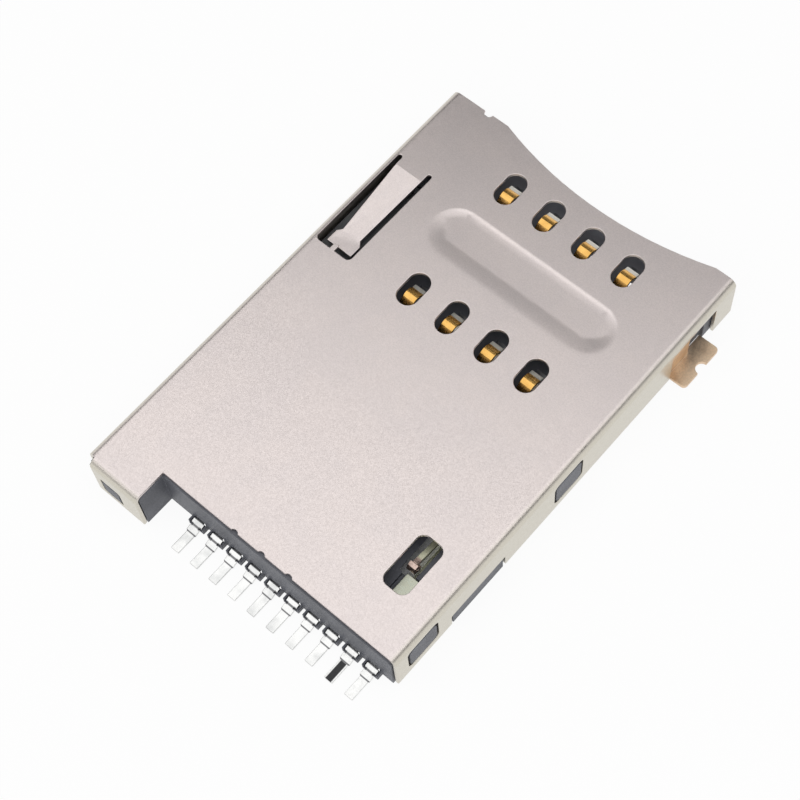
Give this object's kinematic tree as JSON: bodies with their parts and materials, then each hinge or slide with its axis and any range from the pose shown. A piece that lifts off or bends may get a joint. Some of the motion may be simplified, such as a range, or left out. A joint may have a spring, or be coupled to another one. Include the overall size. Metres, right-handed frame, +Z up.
{
  "type": "sim card socket",
  "caption": "Low push-push card socket for a circuit board: folded metal shell with contact windows over a moulded floor, spring contacts, card switch, spring-loaded slider and solder tails.",
  "frame": {"origin": "on the board plane, under the middle of the shell", "axes": "+Y is the way the card goes in, from the mouth to the solder tails; +Z is up from the board; +X is towards the slider"},
  "size_m": [0.0204, 0.0278, 0.0031],
  "materials": {
    "shell": "satin nickel",
    "housing": "fine matt mould texture",
    "contacts": "gold on the crown, tin on the tail",
    "switch": "tin plate",
    "slider": "fine matt",
    "wire": "bright drawn wire",
    "tabs": "copper flash"
  },
  "bodies": {
    "socket": {"shell": "shell", "housing": "housing", "contact_c1": "contacts", "contact_c2": "contacts", "contact_c3": "contacts", "contact_c4": "contacts", "contact_c5": "contacts", "contact_c6": "contacts", "contact_c7": "contacts", "contact_c8": "contacts", "detect_spring": "switch", "detect_plate": "switch", "eject_spring": "wire", "solder_tab_left": "tabs", "solder_tab_right": "tabs"},
    "slider": {"slider": "slider"},
    "link_pin": {"link_pin": "wire"}
  },
  "joints": [
    {"name": "slider_slide", "type": "slide", "parent": "socket", "child": "slider", "axis": [0, 1, 0], "range_m": [0, 0.0045], "stiffness_N_per_m": 120, "springref_m": -0.004, "deforming": ["eject_spring"]},
    {"name": "link_pin_swing", "type": "hinge", "parent": "socket", "child": "link_pin", "pos_m": [0.0079, -0.0092, 0.00225], "axis": [0, 0, 1], "range_deg": [-0.1, 5.6]}
  ],
  "couplings": [
    {"joint": "link_pin_swing", "follows": "slider_slide", "rad_per_m": 21.289}
  ]
}
